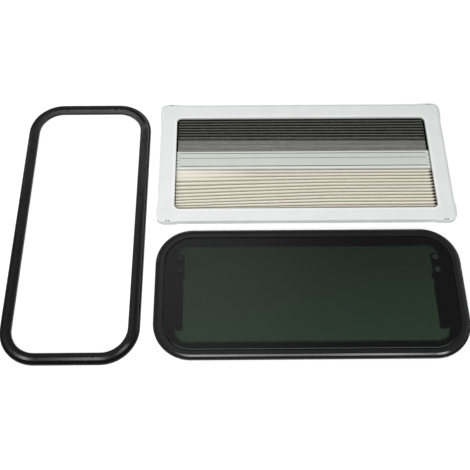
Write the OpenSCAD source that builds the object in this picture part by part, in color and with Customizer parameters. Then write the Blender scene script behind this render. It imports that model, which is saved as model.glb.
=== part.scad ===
/* [Window outline] */
// Width of the glazed window over its outer flange
win_w = 903; // [703:10:1303]
// Height of the glazed window over its outer flange
win_h = 404; // [364:10:704]
// Outer corner radius of the window
corner_r = 110; // [80:1:130]

/* [Window frame section] */
// Height of the mounting leg, from its free edge to the underside of the flange
leg_depth = 22; // [20:0.5:40]
// Height of the flange above the caravan's skin
flange_h = 13; // [12:0.5:16]
// Width of the flange, from the outer edge to the gap round the glass
flange_w = 25.5; // [25:0.1:27]
// Radius of the rounded outer crest
crest_r = 6; // [5:0.5:7]
// Distance of the screw channel and of the ring's screw holes from the window's outer edge
screw_inset = 24; // [23:0.1:25]
// Width of the screw channel in the leg
channel_w = 4; // [3:0.1:4.5]
// Thickness of each wall of the leg
leg_wall = 3; // [2:0.1:3]

/* [Glass] */
// Gap between the flange and the edge of the glass
glass_gap = 3; // [2:0.1:3.5]
// Thickness of the glass
glass_t = 5; // [3:0.1:6]
// Width of the printed border on the left and right
border_side = 39.5; // [20:0.5:60]
// Width of the printed border along the hinge
border_top = 31.5; // [28:0.5:60]
// Width of the printed border along the latches
border_bottom = 26.5; // [20:0.5:60]
// Radius of the clear area's corners
border_r = 30; // [10:1:60]

/* [Stays] */
// Distance from the window's outer edge to the bolts in the glass
bolt_inset = 72.5; // [70:0.5:90]
// Distance from the hinge edge to the first bolt
bolt_top = 96; // [72:1:110]
// Distance between the two bolts of one side
bolt_pitch = 40; // [30:1:44]
// Diameter of a bolt's cap
cap_d = 18; // [14:0.5:22]
// Distance from the window's outer edge to the middle of a stay
stay_inset = 74; // [72:0.5:90]
// Width of a stay's outer tube
tube_w = 18; // [14:0.5:20]
// Distance from the latch edge to the lower end of a stay
stay_low = 93; // [87:1:100]

/* [Latches] */
// Distance of each latch from the middle of the window
latch_x = 230; // [120:1:240]
// Length of a latch's body
latch_len = 56; // [40:1:80]

/* [Clamp ring] */
// How far the clamp ring's outline lies inside the window's
ring_inside = 1.5; // [0:0.5:4]
// Height of the clamp ring
ring_h = 12; // [10:0.5:16]
// Width of the clamp ring's band
ring_band = 33.5; // [32:0.5:40]
// Wall of the ring moulding
ring_wall = 2; // [1.6:0.1:2.6]
// Radius of a screw hole in the ring
ring_hole_r = 2.2; // [1.5:0.1:2.6]
// Pitch of the four screws along each long side
screw_pitch_long = 202; // [150:1:210]
// Pitch of the two screws along each short side
screw_pitch_short = 160; // [100:1:170]

/* [Blind cassette] */
// How far the cassette reaches past the window on the left and right
cas_over_x = 11; // [5:0.5:40]
// How far the cassette reaches past the window at the top and bottom
cas_over_y = 18.5; // [5:0.5:40]
// Height of the cassette
cas_h = 22; // [20:0.5:30]
// Width of the left and right rails, with the bezel
rail_side = 53; // [45:0.5:60]
// Width of the top rail, with the bezel
rail_top_w = 53.5; // [45:0.5:60]
// Width of the bottom rail, with the bezel
rail_bottom_w = 42.5; // [40:0.5:60]
// Wall of the rails and corners
rail_wall = 2; // [1.5:0.1:2.5]
// Radius of the cassette's outer corners
cas_r = 21; // [12:1:30]
// Radius of the opening's corners
opening_r = 16; // [10:1:30]
// Width of the bezel round the opening
bezel_w = 8; // [6:0.5:10]
// Length of a corner moulding along the top and bottom rails
corner_len_x = 62; // [58:1:90]
// Length of a corner moulding along the side rails
corner_len_y = 56; // [54:1:90]
// How far a corner moulding stands out past the rails
corner_proud = 2.5; // [0.5:0.1:4]

/* [Flyscreen and blind] */
// Distance from the cassette's top edge to the flyscreen's bar
bar_place = 183; // [120:1:200]
// Width of the flyscreen's bar
net_bar_w = 24; // [18:0.5:30]
// Width of the blind's bar
blind_bar_w = 41; // [30:0.5:50]
// Pitch of the flyscreen's pleats
net_pitch = 9.5; // [8:0.1:14]
// Pitch of the blind's pleats
blind_pitch = 11; // [9:0.1:16]
// Thickness of the folded sheets
sheet_t = 0.8; // [0.6:0.1:1.2]

/* [Layout on the floor] */
// Gap between the clamp ring and the window
gap_ring = 39; // [10:1:200]
// Gap between the window and the cassette
gap_cassette = 39; // [10:0.5:200]
// How far the window's front edge lies behind the ring's front edge
window_back = 4.5; // [0:0.5:100]
// How far the cassette's middle lies to the right of the window's middle
cassette_right = 6.5; // [0:0.5:60]

/* [Hidden] */
$fn = 96;

black_paint = [0.13, 0.13, 0.13];
black_rubber = [0.05, 0.05, 0.05];
black_print = [0.07, 0.07, 0.08];
glass_green = [0.16, 0.21, 0.17, 0.6];
grey_metal = [0.42, 0.43, 0.44];
white_plastic = [0.93, 0.94, 0.93];
bar_grey = [0.84, 0.85, 0.84];
net_grey = [0.2, 0.2, 0.19];
blind_beige = [0.88, 0.85, 0.77];

// Running clearance between pieces that slide or turn in each other
fit_gap = 0.3;

// Window frame heights and insets
seat_z = leg_depth;
rim_z = seat_z + flange_h;
leg_out = screw_inset - channel_w / 2 - leg_wall;
leg_in = screw_inset + channel_w / 2 + leg_wall;
channel_depth = leg_depth - 4;
ledge_t = 2;
ledge_w = 10;
ledge_z = seat_z + 4;
crest_in = 7;
flat_in = 13;
crest_rise = 1.2;
pocket_wall = 3;
pocket_in = leg_out - 1.5;
pocket_top = rim_z - crest_rise - 3.5;
rim_lip_h = 1;

// Glass, gasket and printed border
glass_inset = flange_w + glass_gap;
gasket_h = 2;
gasket_w = 5;
gasket_bevel = 0.8;
gasket_inset = glass_inset + 1.5;
border_t = 0.5;
border_z = ledge_z + gasket_h;
glass_z = border_z + border_t;
glass_top = glass_z + glass_t;
glass_w = win_w - 2 * glass_inset;
glass_h = win_h - 2 * glass_inset;
glass_r = corner_r - glass_inset;

// Drain slots in the hinge side of the flange, from the middle of the window
drain_x = [-0.22 * win_w, 0.21 * win_w];
drain_len = 16;
drain_w = 1.6;
drain_inset = 15;

// Bolts and stays
shank_r = 4;
cap_h = 2.2;
socket_r = 4;
plate_t = 3;
ear_t = 2.5;
ear_w = 14;
pin_r = 3;
stay_z = 13;
tube_h = 12;
tube_wall = 1.7;
rod_w = tube_w - 2 * tube_wall - 2 * fit_gap;
rod_h = tube_h - 2 * tube_wall - 2 * fit_gap;
bolt_y = [win_h / 2 - bolt_top, win_h / 2 - bolt_top - bolt_pitch];
pin_drop = 12;
pin_high_y = bolt_y[1] - pin_drop;
tube_low_y = -win_h / 2 + stay_low;
tube_len = 0.8 * (pin_high_y - tube_low_y);
tube_floor = 0.15 * tube_len;
pin_low_y = tube_low_y + tube_floor / 2;
rod_low_y = tube_low_y + 1.2 * tube_floor;
knob_r = 9;
knob_h = 6;
ear_x = tube_w / 2 + fit_gap;
straight_y = win_h / 2 - corner_r;
anchor_len = 30;
anchor_h = 16;
anchor_start = 2;

// Hinge
hinge_end = 20;
hinge_len = win_w - 2 * (corner_r + hinge_end);
hinge_bead_r = 2.5;
hinge_bead_in = leg_in + 10.5;
hinge_bead_z = 15;
hinge_hook_t = 2.5;
hinge_plate_w = 19;

// Latches
latch_w = 13;
latch_in = flange_w + ledge_w + 0.5 + latch_w / 2;
latch_z = 16;
lever_z = 5.5;
lever_t = 4;
lever_len = 50;
lever_w = 11;
hub_r = 6;
keeper_len = 30;
keeper_t = 4;

// Ring outline and section
ring_len = win_w - 2 * ring_inside;
ring_across = win_h - 2 * ring_inside;
ring_corner_r = corner_r - ring_inside;
ring_bead_r = 9;
ring_crest_in = 11;
ring_flat_in = 19.5;
ring_rise = 1.8;
ring_groove_in = 9.2;
ring_groove_w = 1.2;
ring_groove_depth = 0.9;
ring_top = 2.4;
boss_r = 4.6;
countersink_r = 3.8;
countersink_h = 1.2;

// Cassette
cas_w = win_w + 2 * cas_over_x;
cas_d = win_h + 2 * cas_over_y;
edge_chamfer_w = 8;
edge_chamfer_h = 3;
wall_z = cas_h - edge_chamfer_h;
slot_top = cas_h - 7;
bezel_z = cas_h + 0.6;
open_w = cas_w - 2 * rail_side;
open_d = cas_d - rail_top_w - rail_bottom_w;
open_y = (rail_bottom_w - rail_top_w) / 2;
corner_up = 0.4;
pin_hole_r = 1.7;
pin_hole_in = 4;
pin_hole_x = [32, 40];

// Flyscreen, blind and their bars
slide_show = 12;
slide_in = 6;
slide_groove_w = 2;
slide_groove_depth = 3;
tongue_h = 7;
net_slide_grooves = [0.3, 0.75];
blind_slide_grooves = [0.15, 0.45, 0.75];
bar_len = open_w - 2 * slide_show;
bar_z = 3;
bar_top = slot_top - 0.6;
bar_lip_w = 5.5;
bar_groove_w = 2.2;
bar_groove_at = 31 / 43 * blind_bar_w;
bar_lip_h = 1;
bar_edge = 1.2;
bar_groove_depth = 3.5;
sheet_low = rail_wall + fit_gap;
sheet_high = slot_top - 1.5;
sheet_in = 6;
tuck = 8;
net_far_y = cas_d / 2 - rail_top_w + tuck;
net_near_y = cas_d / 2 - bar_place;
bars_split_y = net_near_y - net_bar_w;
blind_far_y = bars_split_y - fit_gap - blind_bar_w;
blind_near_y = -cas_d / 2 + rail_bottom_w - tuck;

// Where each unit's middle lies, with the whole layout centred on the origin
ring_at = [ring_across / 2, ring_len / 2];
window_at = [ring_across + gap_ring + win_w / 2, window_back + win_h / 2];
cassette_at = [window_at[0] + cassette_right, window_back + win_h + gap_cassette + cas_d / 2];
layout_w = max(window_at[0] + win_w / 2, cassette_at[0] + cas_w / 2 + corner_proud);
layout_d = max(ring_len, cassette_at[1] + cas_d / 2 + corner_proud);
layout_mid = [layout_w / 2, layout_d / 2];

module place(at) {
    translate([at[0] - layout_mid[0], at[1] - layout_mid[1], 0]) children();
}

// Flat rectangle with rounded corners, centred
module round_rect(w, d, r) {
    square([w - 2 * r, d], center = true);
    square([w, d - 2 * r], center = true);
    for (x = [-1, 1], y = [-1, 1])
        translate([x * (w / 2 - r), y * (d / 2 - r)]) circle(r);
}

// Straight bar with a round end at both ends, along X
module slot_2d(len, w) {
    square([len - w, w], center = true);
    for (x = [-1, 1]) translate([x * (len - w) / 2, 0]) circle(w / 2, $fn = 32);
}

// Turns a section, drawn from the outer edge inwards, so that it faces the middle
module from_edge(r) {
    translate([r, 0]) mirror([1, 0]) children();
}

// Carries a section once round a rounded rectangle: four bends and four straight runs
module swept_loop(w, d, r) {
    for (k = [0:3]) {
        x = (k == 0 || k == 3 ? 1 : -1) * (w / 2 - r);
        y = (k < 2 ? 1 : -1) * (d / 2 - r);
        run = k % 2 == 0 ? d - 2 * r : w - 2 * r;
        translate([x, y, 0]) rotate([0, 0, 90 * k]) {
            rotate_extrude(angle = 90) from_edge(r) children();
            rotate([90, 0, 0]) linear_extrude(run) from_edge(r) children();
        }
    }
}

// Window frame: one bent aluminium section, closed into a ring
module frame_section() {
    difference() {
        union() {
            translate([crest_r, rim_z - crest_r]) circle(crest_r);
            polygon([
                [crest_r, seat_z], [crest_r, rim_z], [crest_in, rim_z],
                [flat_in, rim_z - crest_rise], [flange_w, rim_z - crest_rise], [flange_w, seat_z]
            ]);
            translate([0, seat_z + rim_lip_h]) square([crest_r, flange_h - crest_r - rim_lip_h]);
            translate([leg_out, 0]) square([leg_in - leg_out, seat_z + 1]);
            translate([flange_w - 1, ledge_z - ledge_t]) square([ledge_w + 1, ledge_t]);
            translate([leg_out, seat_z]) square([leg_in - leg_out, ledge_z - ledge_t - seat_z]);
        }
        translate([-1, seat_z - crest_r]) square([leg_out + 1, crest_r]);
        translate([pocket_wall, seat_z - 1]) square([pocket_in - pocket_wall, pocket_top - seat_z + 1]);
        translate([screw_inset - channel_w / 2, -1]) square([channel_w, channel_depth + 1]);
    }
}

module window_frame() {
    color(black_paint) difference() {
        swept_loop(win_w, win_h, corner_r) frame_section();
        for (x = drain_x)
            translate([x, win_h / 2 - drain_inset, pocket_top - 1])
                linear_extrude(flange_h) slot_2d(drain_len, drain_w);
    }
}

// Rubber strip in the pocket under the flange, with a lip that shows below the rim
module flange_seal() {
    lip_x = 0.8;
    low = seat_z - 2.5;
    color(black_rubber) swept_loop(win_w, win_h, corner_r) polygon([
        [pocket_wall + fit_gap, pocket_top], [pocket_in - fit_gap, pocket_top],
        [pocket_in - fit_gap, low + 1], [pocket_in - fit_gap - 1.5, low],
        [lip_x + 1.2, low], [lip_x, low + 1.2],
        [lip_x, seat_z - fit_gap], [pocket_wall + fit_gap, seat_z - fit_gap]
    ]);
}

// Soft strip on the frame's ledge that the glass closes on
module glass_gasket() {
    top = ledge_z + gasket_h;
    inside = gasket_inset + gasket_w;
    color(black_rubber) swept_loop(win_w, win_h, corner_r) polygon([
        [gasket_inset, ledge_z], [inside, ledge_z],
        [inside - gasket_bevel, top], [gasket_inset + gasket_bevel, top]
    ]);
}

module bolt_places(side) {
    for (y = bolt_y) translate([side * (win_w / 2 - bolt_inset), y, 0]) children();
}

module glass_pane() {
    color(glass_green) difference() {
        translate([0, 0, glass_z]) linear_extrude(glass_t) round_rect(glass_w, glass_h, glass_r);
        for (side = [-1, 1]) bolt_places(side)
            translate([0, 0, glass_z - 1]) cylinder(h = glass_t + 2, r = shank_r + fit_gap, $fn = 32);
    }
}

// Black ceramic print on the inside of the glass, round its edge
module printed_border() {
    clear_w = glass_w - 2 * border_side;
    clear_h = glass_h - border_top - border_bottom;
    color(black_print) difference() {
        translate([0, 0, border_z]) linear_extrude(border_t)
            round_rect(glass_w - 1, glass_h - 1, glass_r - 0.5);
        translate([0, (border_bottom - border_top) / 2, border_z - 1])
            linear_extrude(border_t + 2) round_rect(clear_w, clear_h, border_r);
        for (side = [-1, 1]) bolt_places(side)
            translate([0, 0, border_z - 1]) cylinder(h = border_t + 2, r = shank_r + fit_gap, $fn = 32);
    }
}

// Places a section, drawn from the hinge edge inwards, along the hinge side
module along_hinge() {
    translate([-hinge_len / 2, win_h / 2, 0]) rotate([90, 0, 90])
        linear_extrude(hinge_len) mirror([1, 0]) children();
}

module hinge_base() {
    color(black_paint) along_hinge() {
        translate([leg_in, 6]) square([2, 14]);
        translate([leg_in, hinge_bead_z - 0.8]) square([hinge_bead_in - leg_in, 1.6]);
        translate([hinge_bead_in, hinge_bead_z]) circle(hinge_bead_r, $fn = 32);
    }
}

module hinge_rail() {
    inner_r = hinge_bead_r + fit_gap;
    outer_r = inner_r + hinge_hook_t;
    web_in = hinge_bead_in + inner_r;
    plate_in = flange_w + ledge_w + fit_gap;
    color(black_paint) along_hinge() difference() {
        union() {
            translate([hinge_bead_in, hinge_bead_z]) circle(outer_r, $fn = 48);
            translate([web_in, hinge_bead_z]) square([hinge_hook_t, border_z - hinge_bead_z]);
            translate([plate_in, border_z - 2.5]) square([hinge_plate_w, 2.5]);
        }
        translate([hinge_bead_in, hinge_bead_z]) circle(inner_r, $fn = 48);
        translate([hinge_bead_in - outer_r - 1, hinge_bead_z - 2])
            square([outer_r + 1, 4]);
    }
}

// Bolt with a low round cap and a hexagon socket, through the glass
module bolt_cap() {
    r = cap_d / 2;
    translate([0, 0, glass_top]) difference() {
        rotate_extrude($fn = 48) polygon([
            [0, 0], [r, 0], [r, cap_h * 0.45], [r - 0.8, cap_h * 0.8], [r - 2.2, cap_h], [0, cap_h]
        ]);
        translate([0, 0, cap_h - 1.4]) cylinder(h = 2, r = socket_r, $fn = 6);
    }
    translate([0, 0, border_z]) cylinder(h = glass_top - border_z + 0.4, r = shank_r, $fn = 32);
}

module bolt_caps(side) {
    color(black_paint) bolt_places(side) bolt_cap();
}

// Bent plate behind the glass, with two ears and the stay's upper pin
module stay_bracket(side) {
    plate_far = bolt_y[0] + 14;
    plate_near = pin_high_y - 10;
    x_bolt = win_w / 2 - bolt_inset;
    x_stay = win_w / 2 - stay_inset;
    low = stay_z - 6;
    x_out = max(x_bolt + 12, x_stay + ear_x + ear_t);
    x_in = min(x_bolt - 12, x_stay - ear_x - ear_t);
    color(black_paint) mirror([side < 0 ? 1 : 0, 0, 0]) {
        translate([x_in, plate_near, border_z - plate_t])
            cube([x_out - x_in, plate_far - plate_near, plate_t]);
        for (x = [x_stay - ear_x - ear_t, x_stay + ear_x])
            translate([x, pin_high_y - ear_w / 2, low]) cube([ear_t, ear_w, border_z - plate_t - low]);
        translate([x_stay - ear_x - 1, pin_high_y, stay_z])
            rotate([0, 90, 0]) cylinder(h = 2 * ear_x + 2, r = pin_r, $fn = 32);
    }
}

module stay_rod(side) {
    color(grey_metal) translate([side * (win_w / 2 - stay_inset), 0, stay_z]) difference() {
        union() {
            translate([-rod_w / 2, rod_low_y, -rod_h / 2]) cube([rod_w, pin_high_y - rod_low_y, rod_h]);
            translate([0, pin_high_y, 0]) rotate([0, 90, 0])
                cylinder(h = rod_w, r = rod_h / 2 + 2, center = true, $fn = 32);
        }
        translate([0, pin_high_y, 0]) rotate([0, 90, 0])
            cylinder(h = rod_w + 2, r = pin_r + fit_gap, center = true, $fn = 32);
    }
}

module stay_tube(side) {
    bore_y = tube_low_y + tube_floor;
    color(black_paint) translate([side * (win_w / 2 - stay_inset), 0, stay_z]) difference() {
        translate([0, tube_low_y, 0]) rotate([-90, 0, 0]) linear_extrude(tube_len)
            round_rect(tube_w, tube_h, 2.5, $fn = 32);
        translate([-rod_w / 2 - fit_gap, bore_y, -rod_h / 2 - fit_gap])
            cube([rod_w + 2 * fit_gap, tube_len, rod_h + 2 * fit_gap]);
        translate([0, pin_low_y, 0]) rotate([0, 90, 0])
            cylinder(h = tube_w + 2, r = pin_r + fit_gap, center = true, $fn = 32);
    }
}

// Ribbed knob that clamps the rod in the tube
module stay_knob(side) {
    grips = 10;
    top = stay_z - tube_h / 2;
    color(black_paint)
        translate([side * (win_w / 2 - stay_inset), tube_low_y + tube_len - 14, top - knob_h])
            difference() {
                cylinder(h = knob_h, r = knob_r, $fn = 48);
                for (k = [0:grips - 1]) rotate([0, 0, k * 360 / grips])
                    translate([knob_r + 0.6, 0, -1]) cylinder(h = knob_h - 1, r = 1.6, $fn = 24);
            }
}

// Pressed foot that carries the stay's lower pin from the leg of the frame
module stay_anchor(side) {
    x_leg = win_w / 2 - leg_in;
    x_stay = win_w / 2 - stay_inset;
    x_ear = x_stay + ear_x;
    near = -straight_y + anchor_start;
    far = near + anchor_len;
    ear_near = pin_low_y - ear_w / 2;
    low = stay_z - anchor_h * 0.6;
    color(grey_metal) mirror([side < 0 ? 1 : 0, 0, 0]) {
        translate([x_leg - ear_t, near, low]) cube([ear_t, anchor_len, anchor_h]);
        translate([x_ear, near, low]) cube([x_leg - x_ear, anchor_len, ear_t]);
        translate([x_ear, ear_near, low]) cube([ear_t, far - ear_near, anchor_h]);
        translate([x_stay - tube_w / 2 - 2, pin_low_y, stay_z])
            rotate([0, 90, 0]) cylinder(h = tube_w + 4 + fit_gap, r = pin_r, $fn = 32);
    }
}

module latch_place(side) {
    translate([side * latch_x, -win_h / 2 + latch_in, 0]) children();
}

// Latch body bonded behind the printed border
module latch_body(side) {
    color(black_paint) latch_place(side) translate([0, 0, latch_z])
        linear_extrude(border_z - latch_z) round_rect(latch_len, latch_w, 4, $fn = 32);
}

// Quarter-turn lever with a tongue that closes behind the keeper
module latch_lever(side) {
    reach = latch_in - leg_in - fit_gap - 0.5;
    color(black_paint) latch_place(side) {
        translate([0, 0, lever_z]) cylinder(h = latch_z - lever_z, r = hub_r, $fn = 48);
        translate([side * lever_len / 4, 0, lever_z]) linear_extrude(lever_t) slot_2d(lever_len, lever_w);
        translate([-4, -reach, lever_z]) cube([8, reach, lever_t]);
    }
}

module latch_keeper(side) {
    far = latch_in - leg_in - hub_r - 1;
    color(grey_metal) translate([side * latch_x, -win_h / 2 + leg_in, lever_z + lever_t + fit_gap])
        difference() {
            translate([-keeper_len / 2, 0, 0]) cube([keeper_len, far, keeper_t]);
            for (x = [-1, 1]) translate([x * keeper_len * 0.36, far / 2, -1])
                cylinder(h = keeper_t + 2, r = 0.8, $fn = 24);
        }
}

// Clamp ring: moulded band with a rounded crest, a slope down to a flat, and two legs
module ring_section() {
    flat_z = ring_h - ring_rise;
    difference() {
        union() {
            intersection() {
                translate([ring_bead_r, ring_h - ring_bead_r]) circle(ring_bead_r);
                square([ring_bead_r, ring_h]);
            }
            square([ring_bead_r, ring_h - ring_bead_r]);
            polygon([
                [ring_bead_r, 0], [ring_bead_r, ring_h], [ring_crest_in, ring_h],
                [ring_flat_in, flat_z], [ring_band, flat_z], [ring_band, 0]
            ]);
        }
        polygon([
            [ring_wall, -1], [ring_wall, ring_h - ring_bead_r + 1], [ring_bead_r - 2, ring_h - ring_top],
            [ring_crest_in, ring_h - ring_top], [ring_flat_in, flat_z - ring_top],
            [ring_band - ring_wall, flat_z - ring_top], [ring_band - ring_wall, -1]
        ]);
        translate([ring_groove_in, ring_h - ring_groove_depth])
            square([ring_groove_w, ring_groove_depth + 1]);
    }
}

function ring_screws() = concat(
    [for (i = [-1.5:1:1.5], s = [-1, 1]) [i * screw_pitch_long, s * (win_h / 2 - screw_inset)]],
    [for (i = [-0.5, 0.5], s = [-1, 1]) [s * (win_w / 2 - screw_inset), i * screw_pitch_short]]
);

module clamp_ring() {
    face_z = ring_h - ring_rise;
    color(black_paint) rotate([0, 0, 90]) difference() {
        union() {
            swept_loop(ring_len, ring_across, ring_corner_r) ring_section();
            for (p = ring_screws())
                translate([p[0], p[1], 0]) cylinder(h = face_z - 0.5, r = boss_r, $fn = 48);
        }
        for (p = ring_screws()) translate([p[0], p[1], -1]) {
            cylinder(h = ring_h + 2, r = ring_hole_r, $fn = 32);
            translate([0, 0, face_z - countersink_h + 1]) cylinder(h = 4, r = countersink_r, $fn = 32);
        }
    }
}

// Outline of a rail's section from the outer edge inwards, and the channel inside it
function rail_outer(w, up = 0) = [
    [0, 0], [0, wall_z + up], [edge_chamfer_w, cas_h + up], [w, cas_h + up], [w, 0]
];
function rail_inner(w) = [
    [rail_wall, rail_wall], [rail_wall, wall_z - rail_wall / 2],
    [edge_chamfer_w + 0.5, cas_h - rail_wall], [w, cas_h - rail_wall], [w, rail_wall]
];

// Space that the bezel fills, and the opening inside it
module bezel_room() {
    room_w = open_w + 2 * bezel_w;
    room_d = open_d + 2 * bezel_w;
    translate([0, open_y, slot_top]) linear_extrude(cas_h) round_rect(room_w, room_d, opening_r + bezel_w);
    translate([0, open_y, -1]) linear_extrude(cas_h + 2) round_rect(open_w, open_d, opening_r);
}

// One rail of C section, along X at the cassette's edge on the far side
module rail(len, w, depth) {
    translate([-len / 2, depth / 2, 0]) rotate([90, 0, 90]) linear_extrude(len) mirror([1, 0])
        difference() {
            polygon(rail_outer(w));
            polygon(rail_inner(w + 1));
        }
}

module rail_end_piece(side) {
    w = side > 0 ? rail_top_w : rail_bottom_w;
    color(white_plastic) difference() {
        rotate([0, 0, side > 0 ? 0 : 180]) rail(cas_w - 2 * corner_len_x, w, cas_d);
        bezel_room();
    }
}

module rail_side_piece(side) {
    color(white_plastic) difference() {
        rotate([0, 0, side > 0 ? -90 : 90]) rail(cas_d - 2 * corner_len_y, rail_side, cas_w);
        bezel_room();
    }
}

// Corner moulding at the far right: its outside, standing proud of the rails, or the channel inside
module corner_body(inner) {
    arm = rail_side + bezel_w;
    past = inner ? 1 : 0;
    out = inner ? 0 : corner_proud;
    bend_r = cas_r + out;
    len_x = corner_len_x - cas_r + past;
    len_y = corner_len_y - cas_r + past;
    outline = inner ? rail_inner(arm) : rail_outer(arm, corner_up);
    bend = inner ? rail_inner(bend_r) : rail_outer(bend_r, corner_up);
    translate([cas_w / 2 - cas_r, cas_d / 2 - cas_r, 0])
        rotate_extrude(angle = 90) from_edge(bend_r) polygon(bend);
    translate([cas_w / 2 - cas_r - len_x, cas_d / 2 + out, 0]) rotate([90, 0, 90])
        linear_extrude(len_x) mirror([1, 0]) polygon(outline);
    translate([cas_w / 2 + out, cas_d / 2 - cas_r, 0]) rotate([90, 0, 0])
        linear_extrude(len_y) mirror([1, 0]) polygon(outline);
}

module corner(side_x, side_y) {
    size = [corner_len_x + corner_proud, corner_len_y + corner_proud, cas_h + corner_up];
    color(white_plastic) difference() {
        mirror([side_x < 0 ? 1 : 0, 0, 0]) mirror([0, side_y < 0 ? 1 : 0, 0]) difference() {
            intersection() {
                corner_body(false);
                translate([cas_w / 2 - corner_len_x, cas_d / 2 - corner_len_y, 0]) cube(size);
            }
            corner_body(true);
            for (x = pin_hole_x)
                translate([cas_w / 2 + corner_proud - x, cas_d / 2 + corner_proud - pin_hole_in, wall_z - 4])
                    cylinder(h = 12, r = pin_hole_r, $fn = 24);
        }
        bezel_room();
    }
}

// Rounded trim round the opening, clipped to the edges of the rails
module inner_bezel() {
    color(white_plastic) translate([0, open_y, 0])
        swept_loop(open_w + 2 * bezel_w, open_d + 2 * bezel_w, opening_r + bezel_w) difference() {
            union() {
                translate([0, slot_top]) square([bezel_w, bezel_z - slot_top - 2]);
                translate([0, slot_top]) square([bezel_w - 2, bezel_z - slot_top]);
                translate([bezel_w - 2, bezel_z - 2]) circle(2, $fn = 32);
            }
            translate([rail_wall, slot_top - 1]) square([bezel_w - 2 * rail_wall, cas_h - slot_top - 2]);
        }
}

// Section of a sheet folded in a zigzag between two lines, as points along Y and Z
function fold_count(far, near, pitch) = round((far - near) / pitch);
function fold_points(far, near, n, low, high) =
    [for (k = [0:2 * n]) [far - (far - near) * k / (2 * n), k % 2 == 0 ? low : high]];
function lifted(points, dz) = [for (i = [len(points) - 1:-1:0]) points[i] + [0, dz]];

module folded_sheet(far, near, pitch, w) {
    n = fold_count(far, near, pitch);
    rise = sheet_high - sheet_low;
    step = (far - near) / (2 * n);
    tall = sheet_t * sqrt(rise * rise + step * step) / step;
    points = fold_points(far, near, n, sheet_low, sheet_high - tall);
    translate([-w / 2, 0, 0]) rotate([90, 0, 90]) linear_extrude(w)
        polygon(concat(points, lifted(points, tall)));
}

module flyscreen() {
    color(net_grey) folded_sheet(net_far_y, net_near_y, net_pitch, open_w + 2 * sheet_in);
}

module pleated_blind() {
    color(blind_beige) folded_sheet(blind_far_y, blind_near_y, blind_pitch, open_w + 2 * sheet_in);
}

module along_bar() {
    translate([-bar_len / 2, 0, 0]) rotate([90, 0, 90]) linear_extrude(bar_len) children();
}

// Bar section between two lines, with a raised lip of width lip along the near or the far edge
module bar_section(near, far, lip, lip_far) {
    low = bar_top - bar_lip_h;
    step = lip_far ? far - lip : near + lip;
    near_z = lip_far ? low : bar_top;
    far_z = lip_far ? bar_top : low;
    polygon([
        [near, bar_z], [near, near_z - bar_edge], [near + bar_edge, near_z],
        [step - (lip_far ? 0 : bar_edge), near_z], [step + (lip_far ? bar_edge : 0), far_z],
        [far - bar_edge, far_z], [far, far_z - bar_edge], [far, bar_z]
    ]);
}

module bar_groove(y) {
    translate([y, bar_top - bar_groove_depth]) square([bar_groove_w, bar_groove_depth + 1]);
}

module flyscreen_bar() {
    color(bar_grey) along_bar() difference() {
        bar_section(bars_split_y, net_near_y, bar_lip_w, true);
        bar_groove(net_near_y - bar_lip_w - bar_groove_w);
    }
}

module blind_bar() {
    far = bars_split_y - fit_gap;
    groove_y = far - bar_groove_at - bar_groove_w;
    color(bar_grey) along_bar() difference() {
        bar_section(blind_far_y, far, groove_y - blind_far_y, false);
        bar_groove(groove_y);
    }
}

// Slide at the end of a bar: a grooved block beside the bar and a tongue in the side rail
module bar_slide(side, far, w, grooves) {
    color(white_plastic) mirror([side < 0 ? 1 : 0, 0, 0])
        translate([bar_len / 2, far - w, 0]) {
            difference() {
                translate([0, 0, bar_z]) cube([slide_show - fit_gap, w, bar_top - bar_z]);
                for (at = grooves) translate([slide_show * 0.3, w * at, bar_top - slide_groove_depth])
                    cube([slide_show, slide_groove_w, slide_groove_depth + 1]);
            }
            translate([0, w * 0.2, rail_wall]) cube([slide_show + slide_in, w * 0.6, tongue_h]);
        }
}

place(window_at) window_frame();
place(window_at) flange_seal();
place(window_at) glass_gasket();
place(window_at) glass_pane();
place(window_at) printed_border();
place(window_at) hinge_base();
place(window_at) hinge_rail();
place(window_at) bolt_caps(-1);  // bolt_caps_left
place(window_at) bolt_caps(1);  // bolt_caps_right
place(window_at) stay_bracket(-1);  // stay_bracket_left
place(window_at) stay_bracket(1);  // stay_bracket_right
place(window_at) stay_rod(-1);  // stay_rod_left
place(window_at) stay_rod(1);  // stay_rod_right
place(window_at) stay_tube(-1);  // stay_tube_left
place(window_at) stay_tube(1);  // stay_tube_right
place(window_at) stay_knob(-1);  // stay_knob_left
place(window_at) stay_knob(1);  // stay_knob_right
place(window_at) stay_anchor(-1);  // stay_anchor_left
place(window_at) stay_anchor(1);  // stay_anchor_right
place(window_at) latch_body(-1);  // latch_body_left
place(window_at) latch_body(1);  // latch_body_right
place(window_at) latch_lever(-1);  // latch_lever_left
place(window_at) latch_lever(1);  // latch_lever_right
place(window_at) latch_keeper(-1);  // latch_keeper_left
place(window_at) latch_keeper(1);  // latch_keeper_right
place(ring_at) clamp_ring();
place(cassette_at) rail_end_piece(1);  // rail_top
place(cassette_at) rail_end_piece(-1);  // rail_bottom
place(cassette_at) rail_side_piece(-1);  // rail_left
place(cassette_at) rail_side_piece(1);  // rail_right
place(cassette_at) corner(-1, 1);  // corner_top_left
place(cassette_at) corner(1, 1);  // corner_top_right
place(cassette_at) corner(-1, -1);  // corner_bottom_left
place(cassette_at) corner(1, -1);  // corner_bottom_right
place(cassette_at) inner_bezel();
place(cassette_at) flyscreen();
place(cassette_at) pleated_blind();
place(cassette_at) flyscreen_bar();
place(cassette_at) blind_bar();
place(cassette_at) bar_slide(-1, net_near_y, net_bar_w, net_slide_grooves);  // flyscreen_slide_left
place(cassette_at) bar_slide(1, net_near_y, net_bar_w, net_slide_grooves);  // flyscreen_slide_right
place(cassette_at) bar_slide(-1, bars_split_y - fit_gap, blind_bar_w, blind_slide_grooves);  // blind_slide_left
place(cassette_at) bar_slide(1, bars_split_y - fit_gap, blind_bar_w, blind_slide_grooves);  // blind_slide_right
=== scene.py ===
import math

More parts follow.
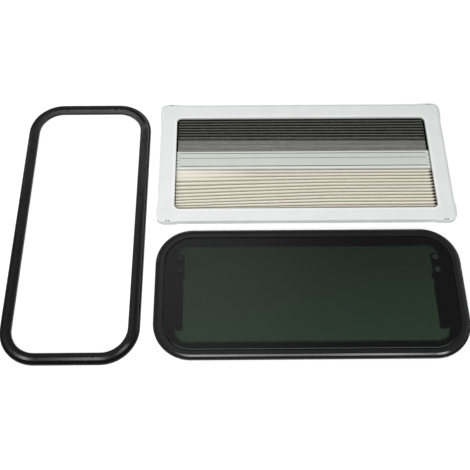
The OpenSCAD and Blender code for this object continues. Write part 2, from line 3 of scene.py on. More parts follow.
import bmesh
import bpy
from mathutils import Matrix, Vector


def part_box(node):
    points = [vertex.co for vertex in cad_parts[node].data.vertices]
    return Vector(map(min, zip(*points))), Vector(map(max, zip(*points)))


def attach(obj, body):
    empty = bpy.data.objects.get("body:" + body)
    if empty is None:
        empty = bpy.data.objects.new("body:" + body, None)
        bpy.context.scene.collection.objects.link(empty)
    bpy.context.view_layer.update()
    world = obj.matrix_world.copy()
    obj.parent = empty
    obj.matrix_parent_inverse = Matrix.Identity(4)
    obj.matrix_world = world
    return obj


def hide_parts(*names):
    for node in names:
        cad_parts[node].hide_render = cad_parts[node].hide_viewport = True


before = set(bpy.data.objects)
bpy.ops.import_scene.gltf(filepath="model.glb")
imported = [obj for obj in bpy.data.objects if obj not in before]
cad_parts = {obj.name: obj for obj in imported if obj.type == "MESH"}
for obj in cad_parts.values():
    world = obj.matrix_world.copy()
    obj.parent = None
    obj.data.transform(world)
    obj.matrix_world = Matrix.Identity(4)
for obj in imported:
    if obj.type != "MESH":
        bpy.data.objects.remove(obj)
scene = bpy.context.scene
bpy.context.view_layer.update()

# Camera: a normal lens in front of the laid-out kit, high up and looking down on it.
# Its tilt, turn, lean and distance are those from which the photograph was taken.
tilt, turn, lean = math.radians(62.514), math.radians(-0.75), math.radians(0.289)
camera_aim = Vector((-0.005578, -0.041885, 0))
camera_distance = 2.182451
ahead = Vector((-math.sin(turn) * math.cos(tilt), math.cos(turn) * math.cos(tilt), -math.sin(tilt)))
level = Vector((math.cos(turn), math.sin(turn), 0))
above = level.cross(ahead)
right = math.cos(lean) * level + math.sin(lean) * above
up = math.cos(lean) * above - math.sin(lean) * level
place = camera_aim - ahead * camera_distance
camera = bpy.data.objects.new("camera", bpy.data.cameras.new("camera"))
camera.data.lens = 54.518
camera.matrix_world = Matrix((
    (right.x, up.x, -ahead.x, place.x),
    (right.y, up.y, -ahead.y, place.y),
    (right.z, up.z, -ahead.z, place.z),
    (0, 0, 0, 1),
))
scene.collection.objects.link(camera)
scene.camera = camera
scene.view_settings.view_transform = "Standard"


# Floor: a sheet of white studio paper under the whole kit.
def new_material(name, colour, roughness, metallic=0.0, specular=0.5):
    material = bpy.data.materials.new(name)
    material.use_nodes = True
    bsdf = material.node_tree.nodes["Principled BSDF"]
    bsdf.inputs["Base Color"].default_value = (*colour, 1)
    bsdf.inputs["Roughness"].default_value = roughness
    bsdf.inputs["Metallic"].default_value = metallic
    bsdf.inputs["Specular IOR Level"].default_value = specular
    return material, material.node_tree, bsdf


def add_node(tree, kind, inputs=None, **settings):
    """Adds a node. Each of its inputs gets a plain value or the output that feeds it."""
    node = tree.nodes.new(kind)
    for key, value in settings.items():
        setattr(node, key, value)
    for key, value in (inputs or {}).items():
        if isinstance(value, bpy.types.NodeSocket):
            tree.links.new(value, node.inputs[key])
        else:
            node.inputs[key].default_value = value
    return node


def calc(tree, operation, *values):
    """Adds a math node and gives its output."""
    return add_node(tree, "ShaderNodeMath", dict(enumerate(values)), operation=operation).outputs[0]


def add_mesh(name, bm, material, slot=None):
    """Makes an object of a bmesh. With a slot it is a piece of the window kit and rides on it."""
    mesh = bpy.data.meshes.new(name)
    bm.to_mesh(mesh)
    bm.free()
    mesh.materials.append(material)
    piece = bpy.data.objects.new(name, mesh)
    scene.collection.objects.link(piece)
    if slot:
        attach(piece, "root")
    return piece


floor_half = 12
floor_glow, floor_gloss_glow = 0.6, 0.04
paper, tree, bsdf = new_material("white_paper", (0.64, 0.64, 0.64), roughness=0.9, specular=0.0)
light_path = add_node(tree, "ShaderNodeLightPath").outputs
seen = calc(tree, "MAXIMUM", light_path["Is Camera Ray"], light_path["Is Transmission Ray"])
seen_glow = calc(tree, "MULTIPLY", seen, floor_glow)
gloss_glow = calc(tree, "MULTIPLY", light_path["Is Glossy Ray"], floor_gloss_glow)
bsdf.inputs["Emission Color"].default_value = (1, 1, 1, 1)
tree.links.new(calc(tree, "MAXIMUM", seen_glow, gloss_glow), bsdf.inputs["Emission Strength"])
bm = bmesh.new()
bmesh.ops.create_grid(bm, x_segments=1, y_segments=1, size=floor_half)
add_mesh("studio_floor", bm, paper)


# A long soft strip high at the back draws the crests and slopes of the black parts. It has a gap and a dip.
def place_on(tree, kind="Object"):
    """Gives X, Y and Z of each point, in the object's lengths or in another kind that Blender has."""
    kinds = add_node(tree, "ShaderNodeTexCoord").outputs
    return add_node(tree, "ShaderNodeSeparateXYZ", {0: kinds[kind]}).outputs


def ramp(tree, value, start, end, low=0.0, high=1.0, kind="LINEAR"):
    """Goes from low to high while the value goes from start to end."""
    return add_node(tree, "ShaderNodeMapRange", {
        "Value": value, "From Min": start, "From Max": end, "To Min": low, "To Max": high,
    }, interpolation_type=kind).outputs[0]


def soft_step(tree, value, start, end):
    """Rises smoothly from 0 at start to 1 at end."""
    return ramp(tree, value, start, end, kind="SMOOTHSTEP")


def off_from(tree, value, middle):
    """How far a value is off a middle one, to either side."""
    return calc(tree, "ABSOLUTE", calc(tree, "SUBTRACT", value, middle))


def all_of(tree, first, *others):
    """Mask that is 1 only where every given mask is 1."""
    for mask in others:
        first = calc(tree, "MULTIPLY", first, mask)
    return first


room_front, room_back, room_turn = 0.05, 0.21, (-0.2, 0.3)
patch_glow, patch_x, patch_half_width, patch_rise = 0.36, -0.07, 0.28, (0.1, 0.47)
strip_glow, strip_height, strip_half, strip_core = 10.0, 0.75, 0.023, 0.0092
strip_behind, strip_end = (0.05, 0.3), (-0.88, -0.72)
gap_at, gap_reach = -0.46, 0.2
dip_at, dip_reach, dip_light = 0.15, 0.25, 0.5
least_behind = 0.01
world = bpy.data.worlds.new("studio_room")
world.use_nodes = True
scene.world = world
tree = world.node_tree
towards = place_on(tree, "Generated")
patch = all_of(
    tree, soft_step(tree, off_from(tree, towards["X"], patch_x), patch_half_width, 0.0),
    soft_step(tree, towards["Y"], *patch_rise),
)
sideways = calc(tree, "DIVIDE", towards["X"], calc(tree, "MAXIMUM", towards["Y"], least_behind))
off_dip = soft_step(tree, off_from(tree, sideways, dip_at), 0.0, dip_reach)
strip = all_of(
    tree, soft_step(tree, off_from(tree, towards["Z"], strip_height), strip_half, strip_core),
    soft_step(tree, off_from(tree, sideways, gap_at), 0.0, gap_reach),
    soft_step(tree, towards["Y"], *strip_behind),
    soft_step(tree, sideways, *strip_end),
    calc(tree, "MULTIPLY_ADD", off_dip, 1 - dip_light, dip_light),
)
glow = ramp(tree, towards["Y"], *room_turn, room_front, room_back)
glow = calc(tree, "MULTIPLY_ADD", patch, patch_glow, glow)
glow = calc(tree, "MULTIPLY_ADD", strip, strip_glow, glow)
tree.links.new(glow, tree.nodes["Background"].inputs["Color"])

for name, spot, width, height, watts in (
    ("soft_fill_front", (0.0, -2.7, 2.9), 3.4, 1.6, 121),
    ("soft_fill_left", (-2.6, 0.4, 2.6), 1.6, 1.6, 42),
):
    lamp = bpy.data.objects.new(name, bpy.data.lights.new(name, "AREA"))
    lamp.data.shape = "RECTANGLE"
    lamp.data.size, lamp.data.size_y, lamp.data.energy = width, height, watts
    lamp.location = spot
    lamp.rotation_euler = (-Vector(spot)).to_track_quat("-Z", "Y").to_euler()
    lamp.visible_glossy = False
    scene.collection.objects.link(lamp)


# Window frame and hinge: bent aluminium sections with a satin black powder coat.
# The coat has a fine orange peel and is a little uneven in its shine.
def new_group(name, given, made):
    """Starts a node group with named inputs and outputs, and gives the sockets of both inside it."""
    group = bpy.data.node_groups.new(name, "ShaderNodeTree")
    for way, names in (("INPUT", given), ("OUTPUT", made)):
        for socket in names:
            group.interface.new_socket(socket, in_out=way, socket_type="NodeSocketFloat")
    return group, add_node(group, "NodeGroupInput").outputs, add_node(group, "NodeGroupOutput").inputs


def surface_grain(grain_detail=3.0, patch_scale=14.0, patch_detail=4.0):
    """Node group: fine relief of a grain or orange peel, and broad patches of uneven shine."""
    group, given, made = new_group("surface_grain", ["Grain Scale"], ["Height", "Patches"])
    place = add_node(group, "ShaderNodeTexCoord").outputs["Object"]
    for output, scale, detail in (
        ("Height", given["Grain Scale"], grain_detail), ("Patches", patch_scale, patch_detail),
    ):
        noise = add_node(group, "ShaderNodeTexNoise", {"Vector": place, "Scale": scale, "Detail": detail})
        group.links.new(noise.outputs[0], made[output])
    return group


def blend(tree, factor, one, two):
    """Mixes two colours, each of them plain or an output, and gives the result."""
    one, two = (side if isinstance(side, bpy.types.NodeSocket) else (*side, 1) for side in (one, two))
    mix = add_node(tree, "ShaderNodeMix", {"Factor": factor, "A": one, "B": two}, data_type="RGBA")
    return mix.outputs["Result"]


def emboss(tree, bsdf, height, distance):
    """Gives a material a relief, whose full height is the distance in metres."""
    bump = add_node(tree, "ShaderNodeBump", {"Height": height, "Distance": distance})
    tree.links.new(bump.outputs[0], bsdf.inputs["Normal"])


grain_group = surface_grain()
patch_range, tone_change = (0.3, 0.7), 0.06


def grained(name, colour, roughness, grain_scale, relief, uneven=0.08, metallic=0.0, specular=0.5):
    """Material with a fine grain, and with a colour and a shine that vary a little in patches."""
    material, tree, bsdf = new_material(name, colour, roughness, metallic, specular)
    grain = add_node(tree, "ShaderNodeGroup", {"Grain Scale": grain_scale}, node_tree=grain_group).outputs
    shine = ramp(tree, grain["Patches"], *patch_range, roughness - uneven, roughness + uneven)
    tree.links.new(shine, bsdf.inputs["Roughness"])
    dark, light = ([c * (1 + change) for c in colour] for change in (-tone_change, tone_change))
    tree.links.new(blend(tree, grain["Patches"], dark, light), bsdf.inputs["Base Color"])
    emboss(tree, bsdf, grain["Height"], relief)
    return material


def finish_nodes(material, *names):
    """Gives CAD nodes their finish. Their shapes stay as they are."""
    for name in names:
        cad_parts[name].data.materials.clear()
        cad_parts[name].data.materials.append(material)


powder_coat = grained(
    "black_powder_coat", (0.0105, 0.0105, 0.0108), roughness=0.08, grain_scale=900, relief=0.00001,
    uneven=0.015, specular=0.45,
)
finish_nodes(powder_coat, "window_frame", "hinge_base", "hinge_rail")


# Seals: extruded matt rubber, one under the flange and one on the ledge that the glass closes on.
# Extrusion leaves them dull, with a very fine bloom.
rubber = grained(
    "black_rubber", (0.002, 0.002, 0.002), roughness=0.75, grain_scale=1600, relief=0.00003, specular=0.05,
)
finish_nodes(rubber, "flange_seal", "glass_gasket")


# Glass: green tinted safety glass with ground and polished edges.
# The white floor under it shows as a deep grey green, a little lighter towards the latches. That change is
# painted shade: the tint is darker towards the hinge, for the shade on the floor seen through the pane there.
tint_hinge, tint_latch = (0.0146, 0.0292, 0.0166), (0.031, 0.0585, 0.0355)
hinge_margin, latch_margin = 0.05, 0.02
wave_scale, wave_height = 3.0, 0.0004
tinted_glass, tree, bsdf = new_material("tinted_glass", tint_hinge, roughness=0.0)
bsdf.inputs["Transmission Weight"].default_value = 1
bsdf.inputs["IOR"].default_value = 1.5
pane_low, pane_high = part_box("glass_pane")
# Painted shade: the tint goes from darker at the hinge to lighter at the latches.
to_latch = ramp(tree, place_on(tree)["Y"], pane_high[1] - hinge_margin, pane_low[1] + latch_margin)
tree.links.new(blend(tree, to_latch, tint_hinge, tint_latch), bsdf.inputs["Base Color"])
waves = add_node(tree, "ShaderNodeGroup", {"Grain Scale": wave_scale}, node_tree=grain_group).outputs
emboss(tree, bsdf, waves["Height"], wave_height)
finish_nodes(tinted_glass, "glass_pane")


# Glass edge: the arris round the pane's outer face, ground matt.
# It catches the light as a thin grey line on the latch side. On the other sides it is painted black, as
# painted shade.
def rounded_loop(middle, half, corner, steps=16):
    """Points of a rectangle with rounded corners, once round."""
    points = []
    for k, (x, y) in enumerate(((1, 1), (-1, 1), (-1, -1), (1, -1))):
        for i in range(steps + 1):
            angle = math.pi / 2 * (k + i / steps)
            points.append((
                middle[0] + x * (half[0] - corner) + corner * math.cos(angle),
                middle[1] + y * (half[1] - corner) + corner * math.sin(angle),
            ))
    return points


def loop_mesh(*outlines):
    """Joins outlines, each of them points and a height, one after the other into a closed ring."""
    bm = bmesh.new()
    loops = [[bm.verts.new((x, y, z)) for x, y in points] for points, z in outlines]
    for one, two in zip(loops, loops[1:] + loops[:1]):
        for i in range(len(one)):
            after = (i + 1) % len(one)
            bm.faces.new((one[i], one[after], two[after], two[i]))
    bmesh.ops.recalc_face_normals(bm, faces=bm.faces)
    return bm


def middle_and_half(low, high):
    """Gives the middle of a box and half its size."""
    return [(a + b) / 2 for a, b in zip(low, high)], [(b - a) / 2 for a, b in zip(low, high)]


def finish_so_far(material):
    """Gives a finish's tree and shader, and the output that colours it, to lay more over it."""
    bsdf = material.node_tree.nodes["Principled BSDF"]
    return material.node_tree, bsdf, bsdf.inputs["Base Color"].links[0].from_socket


pane_corner, arris, arris_lift = 0.0815, 0.0012, 0.00006
edge_shade_black, shade_from, ground_from = (0.004, 0.0045, 0.0045), 0.03, 0.005
pane_middle, pane_half = middle_and_half(pane_low, pane_high)
ground_glass = grained(
    "ground_glass", (0.2, 0.22, 0.21), roughness=0.5, grain_scale=2000, relief=0.00003,
)
tree, bsdf, ground = finish_so_far(ground_glass)
# Painted shade: the arris is black except along the latch side.
unshaded_edge = soft_step(tree, place_on(tree)["Y"], pane_low[1] + shade_from, pane_low[1] + ground_from)
tree.links.new(blend(tree, unshaded_edge, edge_shade_black, ground), bsdf.inputs["Base Color"])
bm = loop_mesh(*(
    (rounded_loop(pane_middle, [h - inwards for h in pane_half], pane_corner - inwards), pane_high[2] + rise)
    for inwards, rise in (
        (-arris_lift, -arris), (-arris_lift, -0.6 * arris), (0.6 * arris, arris_lift), (arris, arris_lift),
    )
))
add_mesh("glass_arris", bm, ground_glass, "tinted_glass")


# Printed border: black ceramic ink fired on the inside of the glass.
# It is a little wider along the stays, as painted shade for the stays' shadow on the floor under the glass.
# It breaks up into fine dots towards the clear area; the dots are the print's own fade and also painted shade
# for the border's shadow on that floor.
def dotted_edge(tree, place, middle, half, corner, band, pitch, first_dots, full_ink):
    """Mask of a print round a clear rectangle: 1 in the ink, with dots in the band next to it."""
    past, dots = [], []
    for axis in (0, 1):
        off = off_from(tree, place[axis], middle[axis])
        past.append(calc(tree, "SUBTRACT", off, half[axis] - corner))
        dots.append(calc(tree, "COSINE", calc(tree, "MULTIPLY", place[axis], 2 * math.pi / pitch)))
    outer = [calc(tree, "POWER", calc(tree, "MAXIMUM", p, 0.0), 2.0) for p in past]
    round_off = calc(tree, "SQRT", calc(tree, "ADD", *outer))
    inner = calc(tree, "MINIMUM", calc(tree, "MAXIMUM", *past), 0.0)
    distance = calc(tree, "SUBTRACT", calc(tree, "ADD", round_off, inner), corner)
    limit = ramp(tree, distance, 0.0, band, first_dots, full_ink)
    return calc(tree, "GREATER_THAN", calc(tree, "MULTIPLY", *dots), limit)


border_side, border_top, border_bottom, border_corner = 0.0395, 0.0315, 0.0265, 0.03
dot_and_shadow_band, dot_pitch, first_dots, full_ink = 0.009, 0.0024, 0.9, -1.02
stay_shade_band, stay_low, stay_high = 0.0085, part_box("stay_tube_left")[0][1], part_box("stay_bracket_left")[1][1]
ink_under, ink_thickness, ink_inset = 0.00008, 0.0003, 0.0005
ink_grain_scale, ink_relief = 700.0, 0.00002
clear_half = (pane_half[0] - border_side, pane_half[1] - (border_top + border_bottom) / 2)
clear_middle = (pane_middle[0], pane_middle[1] + (border_bottom - border_top) / 2)
print_low, print_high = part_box("printed_border")
print_half = middle_and_half(print_low, print_high)[1]
ink_top, ink_low = print_high[2] - ink_under, print_high[2] - ink_under - ink_thickness
outer_edge = rounded_loop(pane_middle, print_half, pane_corner - ink_inset)
inner_edge = rounded_loop(clear_middle, (clear_half[0] - stay_shade_band, clear_half[1]), border_corner)
bm = loop_mesh((outer_edge, ink_top), (inner_edge, ink_top), (inner_edge, ink_low), (outer_edge, ink_low))
ceramic_ink, tree, bsdf = new_material("ceramic_ink", (0.012, 0.0115, 0.016), roughness=0.35)
place = place_on(tree)
# Painted shade: the dotted band is partly the print's own fade and partly the border's shadow on the floor
# below.
ink = dotted_edge(
    tree, place, clear_middle, clear_half, border_corner, dot_and_shadow_band, dot_pitch, first_dots, full_ink,
)
# Painted shade: the ink is widened beside the stays, for their shadow on the floor below.
shade_beside_stays = all_of(
    tree,
    calc(tree, "GREATER_THAN", off_from(tree, place["X"], clear_middle[0]), clear_half[0] - stay_shade_band),
    calc(tree, "GREATER_THAN", place["Y"], stay_low), calc(tree, "LESS_THAN", place["Y"], stay_high),
)
tree.links.new(calc(tree, "MAXIMUM", ink, shade_beside_stays), bsdf.inputs["Alpha"])
ink_grain = add_node(tree, "ShaderNodeTexNoise", {"Scale": ink_grain_scale, "Detail": 2.0})
emboss(tree, bsdf, ink_grain.outputs[0], ink_relief)
ceramic_print = add_mesh("ceramic_print", bm, ceramic_ink, "print_black")
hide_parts("printed_border")


# Stays, bolts and latches: moulded black plastic with a fine eroded grain.
# The bolt caps stand on the glass, the rest hangs behind it.
hardware_black = grained(
    "hardware_black", (0.012, 0.012, 0.013), roughness=0.5, grain_scale=1400, relief=0.00008,
)
for side in ("left", "right"):
    finish_nodes(
        hardware_black, "bolt_caps_" + side, "stay_bracket_" + side, "stay_tube_" + side,
        "stay_knob_" + side, "latch_body_" + side, "latch_lever_" + side,
    )


# Stay rods, anchors and latch keepers: zinc plated steel, drawn or pressed.
# The plating is bright grey and a little cloudy.
zinc = grained(
    "zinc_plate", (0.42, 0.43, 0.44), roughness=0.38, grain_scale=500, relief=0.00002,
    uneven=0.12, metallic=1.0,
)
for side in ("left", "right"):
    finish_nodes(zinc, "stay_rod_" + side, "stay_anchor_" + side, "latch_keeper_" + side)


# Keeper screws: small pan head screws that hold each latch keeper to the frame's leg.
# They are driven in from below, two to a keeper.
def pan_head(bm, at, radius, height, upward, skirt=0.2, dimple=0.35):
    """Adds a domed screw head with a dimple in its middle, whose flat side lies at a point.
    The skirt, sunk in the part below, and the dimple's bottom are shares of its height."""
    rings, steps = 4, 20
    sign = 1 if upward else -1
    rows = []
    for i in range(-1, rings + 1):
        angle = math.pi / 2 * max(i, 0) / (rings + 1)
        r, z = radius * math.cos(angle), height * (math.sin(angle) if i >= 0 else -skirt)
        rows.append([bm.verts.new((
            at[0] + r * math.cos(2 * math.pi * k / steps),
            at[1] + r * math.sin(2 * math.pi * k / steps),
            at[2] + sign * z,
        )) for k in range(steps)])
    bottom = bm.verts.new((at[0], at[1], at[2] + sign * height * dimple))
    for k in range(steps):
        after = (k + 1) % steps
        faces = [(low[k], low[after], high[after], high[k]) for low, high in zip(rows, rows[1:])]
        faces.append((rows[-1][k], rows[-1][after], bottom))
        for corners in faces:
            bm.faces.new(corners if upward else corners[::-1])
    bm.faces.new(rows[0][::-1] if upward else rows[0])


screw_radius, screw_height, screw_shares = 0.0016, 0.0009, (0.14, 0.86)
bm = bmesh.new()
for side in ("left", "right"):
    low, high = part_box("latch_keeper_" + side)
    for share in screw_shares:
        spot = (low[0] + (high[0] - low[0]) * share, (low[1] + high[1]) / 2, low[2])
        pan_head(bm, spot, screw_radius, screw_height, upward=False)
add_mesh("keeper_screws", bm, zinc, "hardware_steel")


# Clamp ring: one moulding of black plastic, satin, with a finer grain than the hardware.
# It is screwed to the window's leg from inside the caravan, through its twelve holes.
ring_plastic = grained(
    "ring_black", (0.0035, 0.0037, 0.0036), roughness=0.13, grain_scale=1100, relief=0.00002, uneven=0.03,
)
finish_nodes(ring_plastic, "clamp_ring")


# Cassette rails, corners and bezel: white plastic, extruded or moulded, satin.
# The extrusions are smoother than the corner mouldings and the trim.
corner_names = ("corner_top_left", "corner_top_right", "corner_bottom_left", "corner_bottom_right")
rail_white = grained(
    "rail_white", (0.83, 0.85, 0.84), roughness=0.42, grain_scale=700, relief=0.00002, uneven=0.04,
)
corner_white = grained(
    "corner_white", (0.82, 0.84, 0.83), roughness=0.48, grain_scale=1300, relief=0.00005, uneven=0.04,
)
trim_white = grained(
    "trim_white", (0.9, 0.91, 0.9), roughness=0.4, grain_scale=1300, relief=0.00003, uneven=0.04,
)
finish_nodes(rail_white, "rail_top", "rail_bottom", "rail_left", "rail_right")
finish_nodes(corner_white, *corner_names)
finish_nodes(trim_white, "inner_bezel")


# Corner pins: two dark steel pins in each corner moulding that lock it on the rail.
# Their heads close the holes near the outer edge, half sunk in its slope.
pin_radius, pin_height, pin_inset, pin_depth, pin_places = 0.0026, 0.0009, 0.004, 0.0021, (0.032, 0.040)
pin_steel = grained(
    "pin_steel", (0.03, 0.03, 0.03), roughness=0.45, grain_scale=900, relief=0.00002, metallic=1.0,
)
bm = bmesh.new()
for name in corner_names:
    low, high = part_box(name)
    y = low[1] + pin_inset if "bottom" in name else high[1] - pin_inset
    for from_end in pin_places:
        x = low[0] + from_end if name.endswith("left") else high[0] - from_end
        pan_head(bm, (x, y, high[2] - pin_depth), pin_radius, pin_height, upward=True)
add_mesh("corner_pins", bm, pin_steel, "hardware_steel")


# Flyscreen: a dark net, pleated and folded small under the top rail, nearly flat next to its bar.
# One cloth, woven with open gaps, that the bar pulls across the opening.
def weave_group():
    """Node group: threads of a plain weave along the cloth's own lengths, in metres."""
    group, given, made = new_group("plain_weave", ["Pitch", "Gap"], ["Threads", "Height"])
    place = place_on(group, "UV")
    off_thread = []
    for axis in (0, 1):
        turns = calc(group, "FRACT", calc(group, "DIVIDE", place[axis], given["Pitch"]))
        off_thread.append(off_from(group, turns, 0.5))
    half_gap = calc(group, "MULTIPLY", given["Gap"], 0.5)
    open_x, open_y = (calc(group, "LESS_THAN", off, half_gap) for off in off_thread)
    threads = calc(group, "SUBTRACT", 1.0, calc(group, "MULTIPLY", open_x, open_y))
    group.links.new(threads, made["Threads"])
    group.links.new(calc(group, "MAXIMUM", *off_thread), made["Height"])
    return group


def ridge_group():
    """Node group: mask by height, 0 down in folds or grooves and 1 on the ridges, which the finishes use for
    painted shade there. Lowered darkens them.
    """
    group, given, made = new_group("ridge_height", ["Low", "High", "Lowered"], ["Ridge"])
    height = calc(group, "SUBTRACT", place_on(group)["Z"], given["Lowered"])
    group.links.new(soft_step(group, height, given["Low"], given["High"]), made["Ridge"])
    return group


weave, ridges = weave_group(), ridge_group()


def pleated_cloth(name, material, slot, left, right, fold_count, line_y, rise, base_z):
    """Makes a pleated sheet, and gives it with its length along the folds. line_y(s, v) is the depth of
    fold v at share s of the width, with a valley at each whole v. base_z(s, v) is the valley's height
    there, and rise(s, v) how far the ridge stands above it."""
    across, per_fold, crisp, thickness = 72, 8, 0.6, 0.0003
    bm = bmesh.new()
    uv = bm.loops.layers.uv.new("cloth")
    rows = []
    length = [0.0]
    for j in range(fold_count * per_fold + 1):
        v = j / per_fold
        turn_share = v % 1
        bent = 1 - abs(2 * turn_share - 1)
        soft = 0.5 - 0.5 * math.cos(2 * math.pi * turn_share)
        lift = crisp * bent + (1 - crisp) * soft
        rows.append([bm.verts.new((
            left + (right - left) * i / across,
            line_y(i / across, v),
            base_z(i / across, v) + lift * rise(i / across, v),
        )) for i in range(across + 1)])
        if j:
            length.append(length[-1] + (rows[j][across // 2].co - rows[j - 1][across // 2].co).length)
    for j, (far, near) in enumerate(zip(rows, rows[1:])):
        for i in range(across):
            face = bm.faces.new((near[i], near[i + 1], far[i + 1], far[i]))
            face.smooth = True
            for loop, (a, b) in zip(face.loops, ((i, j + 1), (i + 1, j + 1), (i + 1, j), (i, j))):
                loop[uv].uv = ((right - left) * a / across, length[b])
    cloth = add_mesh(name, bm, material, slot)
    solid = cloth.modifiers.new("thickness", "SOLIDIFY")
    solid.thickness = thickness
    solid.offset = 0
    return cloth, length[-1]


def passed(v, fold, steepness):
    """Goes smoothly from 0 to 1 where v passes a fold, or from 1 to 0 with a steepness below 0."""
    return 1 / (1 + math.exp(-steepness * (v - fold)))


bezel_width = 0.008
bezel_low, bezel_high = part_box("inner_bezel")
open_far, open_near = bezel_high[1] - bezel_width, bezel_low[1] + bezel_width
net_low, net_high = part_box("flyscreen")
net_width, net_side_shade = net_high[0] - net_low[0], 0.011
net_pitch, net_relief = 0.0015, 0.0002
stretch_from, stretch_to, closed_gap, stretched_gap = 0.13, 0.165, 0.12, 0.54
fold_painted_shade, ridge_grey, side_shade_black = (0.0015, 0.0015, 0.0015), (0.165, 0.17, 0.15), (0.004, 0.004, 0.004)
crease_low, crease_high = net_low[2] + 0.0032, net_low[2] + 0.0088
net_cloth, tree, bsdf = new_material("net_cloth", (0.03, 0.031, 0.027), roughness=0.85, specular=0.2)
along = place_on(tree, "UV")
stretched = soft_step(tree, along["Y"], stretch_from, stretch_to)
gap = ramp(tree, stretched, 0.0, 1.0, closed_gap, stretched_gap)
threads = add_node(tree, "ShaderNodeGroup", {"Pitch": net_pitch, "Gap": gap}, node_tree=weave).outputs
# Painted shadow: along its sides, where the side rails shade it, the net is solid and near black.
side_shade = calc(tree, "GREATER_THAN", off_from(tree, along["X"], net_width / 2), net_width / 2 - net_side_shade)
tree.links.new(calc(tree, "MAXIMUM", threads["Threads"], side_shade), bsdf.inputs["Alpha"])
# Painted shade: the net is near black down in its folds and grey on its ridges.
ridge = add_node(tree, "ShaderNodeGroup", {"Low": crease_low, "High": crease_high}, node_tree=ridges)
shaded_folds = blend(tree, ridge.outputs["Ridge"], fold_painted_shade, ridge_grey)
tree.links.new(blend(tree, side_shade, shaded_folds, side_shade_black), bsdf.inputs["Base Color"])
emboss(tree, bsdf, threads["Height"], net_relief)

net_tuck, net_depth = net_high[1] - open_far, open_far - net_low[1]
small_folds, small_pitch, wide_folds = 8, 0.088, 3
small_share, lower_right = 0.93, 0.06
small_rise, wide_rise, small_lift, wide_lift = 0.0066, 0.0012, 0.0004, 0.0042
flat_from, flattening, lifting = small_folds - 0.2, 6, 4


def net_line(s, v):
    """The small folds end at about three fifths of the way, a little lower on the right."""
    end = small_pitch * (small_folds - 1) * (small_share + lower_right * s)
    if v <= 1:
        return net_high[1] - net_tuck * v
    if v <= small_folds:
        return open_far - net_depth * end * (v - 1) / (small_folds - 1)
    share = (v - small_folds) / wide_folds
    return open_far - net_depth * (end + (1 - end) * share)


def net_rise(s, v):
    """The small folds stand up, and the wide ones are nearly flat."""
    return wide_rise + small_rise * passed(v, flat_from, -flattening)


def net_base(s, v):
    """The stretched net runs higher, at its bar."""
    return net_low[2] + small_lift + wide_lift * passed(v, small_folds, lifting)


net, net_length = pleated_cloth(
    "flyscreen_net", net_cloth, "net_grey", net_low[0], net_high[0],
    small_folds + wide_folds, net_line, net_rise, net_base,
)
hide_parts("flyscreen")


# Blind: closed beige cloth with pressed pleats, between its bar and the bottom rail.
# At its left end the first pleats are pulled open and the rest are pushed down to the rail.
blind_pitch, blind_relief, slub_scale, slub_detail = 0.0006, 0.0001, 60.0, 5.0
slub_dark, slub_light = (0.8, 0.755, 0.64), (0.88, 0.84, 0.74)
pleat_shade, end_shade, end_drop = (0.27, 0.24, 0.185), (0.02, 0.018, 0.014), 0.0032
right_fade, left_fade, rail_fade = (0.012, 0.002), (0.004, 0.001), (0.0005, 0.0045)
open_left, open_right = bezel_low[0] + bezel_width, bezel_high[0] - bezel_width
blind_low, blind_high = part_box("pleated_blind")
crease_low, crease_high = blind_low[2] + 0.0005, blind_low[2] + 0.0065
blind_cloth, tree, bsdf = new_material("blind_cloth", (0.66, 0.62, 0.52), roughness=0.9, specular=0.15)
bsdf.inputs["Sheen Weight"].default_value = 0.15
threads = add_node(tree, "ShaderNodeGroup", {"Pitch": blind_pitch, "Gap": 0.0}, node_tree=weave).outputs
emboss(tree, bsdf, threads["Height"], blind_relief)
slub = add_node(tree, "ShaderNodeTexNoise", {"Scale": slub_scale, "Detail": slub_detail}).outputs[0]
place = place_on(tree)
# Painted shade: the cloth is darker down in its pleats' valleys, near black in the valleys at both ends where
# the side rails shade it, and darker along the bottom rail.
right_end = soft_step(tree, place["X"], *(open_right - inwards for inwards in right_fade))
left_end = soft_step(tree, place["X"], *(open_left + inwards for inwards in left_fade))
end = calc(tree, "MAXIMUM", right_end, left_end)
ridge = add_node(tree, "ShaderNodeGroup", {
    "Low": crease_low, "High": crease_high, "Lowered": calc(tree, "MULTIPLY", end, end_drop),
}, node_tree=ridges).outputs["Ridge"]
clear_of_rail = soft_step(tree, place["Y"], *(open_near + inwards for inwards in rail_fade))
shaded_folds = blend(
    tree, calc(tree, "MULTIPLY", ridge, clear_of_rail),
    blend(tree, end, pleat_shade, end_shade), blend(tree, slub, slub_dark, slub_light),
)
tree.links.new(shaded_folds, bsdf.inputs["Base Color"])

blind_depth = blind_high[1] - open_near
blind_room = (blind_high[1] - blind_low[1]) / blind_depth
blind_folds, even_pitch, last_gap = 13, 1 / 12.7, 0.003
pushed_share, pushed_reach, pushed_curve, pushed_from, pushed_folds = 0.112, 0.62, 1.2, 1.2, 12.6
opened_reach, opened_folds, closing, opened_flatter, opened_lift = 0.3, 2.4, 4, 0.8, 0.005
pleat_rise, pleat_lift = 0.0066, 0.001


def blind_line(s, v):
    """The pleats are even at the right and pushed down at the left. The last one ends at the rail."""
    push = max(0.0, 1 - s / pushed_reach) ** pushed_curve
    bulge = math.sin(math.pi * min(max((v - pushed_from) / pushed_folds, 0.0), 1.0))
    share = v * even_pitch + pushed_share * push * bulge
    last = blind_folds - 1
    if v > last:
        share += (blind_room - last_gap - share) * (v - last)
    return blind_high[1] - blind_depth * share


def blind_opened(s, v):
    """How far the pleats are pulled open, from 0 to 1."""
    return max(0.0, 1 - s / opened_reach) * passed(v, opened_folds, -closing)


def blind_rise(s, v):
    return pleat_rise * (1 - opened_flatter * blind_opened(s, v))


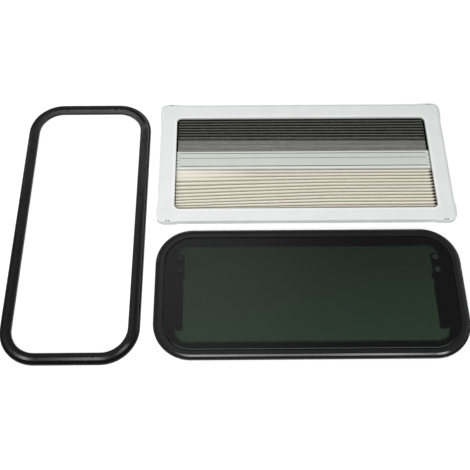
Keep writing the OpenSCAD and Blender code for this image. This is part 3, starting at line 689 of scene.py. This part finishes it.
def blind_base(s, v):
    return blind_low[2] + pleat_lift + opened_lift * blind_opened(s, v)


blind, blind_length = pleated_cloth(
    "blind_pleats", blind_cloth, "blind_beige", blind_low[0], blind_high[0],
    blind_folds, blind_line, blind_rise, blind_base,
)
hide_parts("pleated_blind")


# Bars of the net and the blind: extruded aluminium with an off-white paint, and their moulded slides.
# Each has a raised lip as its grip, coloured whiter as a painted highlight. Painted shade makes the grooves,
# joins and everything below the top face near black, and the ends where the bars run under the side rails;
# the near wall keeps most of its paint.
groove_painted_shade, groove_depth, lip_highlight_white, lip_height = (0.03, 0.03, 0.028), 0.0013, (0.82, 0.83, 0.82), 0.001
far_lip_reach, near_lip_reach, lip_core = 0.0045, 0.0055, 0.8
wall_depth, near_wall_unshaded = (0.0009, 0.0003), 0.7
bar_far, bar_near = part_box("flyscreen_bar")[1][1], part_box("blind_bar")[0][1]
face_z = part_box("flyscreen_bar")[1][2] - lip_height
open_middle, open_half = (open_left + open_right) / 2, (open_right - open_left) / 2
bar_paint = grained(
    "bar_paint", (0.65, 0.66, 0.62), roughness=0.4, grain_scale=900, relief=0.00003, uneven=0.05,
)
tree, bsdf, painted = finish_so_far(bar_paint)
place = place_on(tree)
face = add_node(tree, "ShaderNodeGroup", {"Low": face_z - groove_depth, "High": face_z}, node_tree=ridges)
off_middle = off_from(tree, place["X"], open_middle)
inside_rails = soft_step(tree, off_middle, *(open_half - inwards for inwards in rail_fade))
# Painted highlight: a whiter colour along each lip.
lip_highlights = [
    soft_step(tree, off_from(tree, place["Y"], y), reach, lip_core * reach)
    for y, reach in ((bar_far, far_lip_reach), (bar_near, near_lip_reach))
]
# Painted shade: near black below the top face and beyond the opening's edges; the near wall keeps most of its
# paint.
near_wall = soft_step(tree, place["Y"], *(bar_near + depth for depth in wall_depth))
out_of_painted_shade = calc(
    tree, "MAXIMUM", all_of(tree, face.outputs["Ridge"], inside_rails),
    calc(tree, "MULTIPLY", near_wall, near_wall_unshaded),
)
lit = blend(tree, calc(tree, "MAXIMUM", *lip_highlights), painted, lip_highlight_white)
tree.links.new(blend(tree, out_of_painted_shade, groove_painted_shade, lit), bsdf.inputs["Base Color"])
finish_nodes(
    bar_paint, "flyscreen_bar", "blind_bar",
    "flyscreen_slide_left", "flyscreen_slide_right", "blind_slide_left", "blind_slide_right",
)
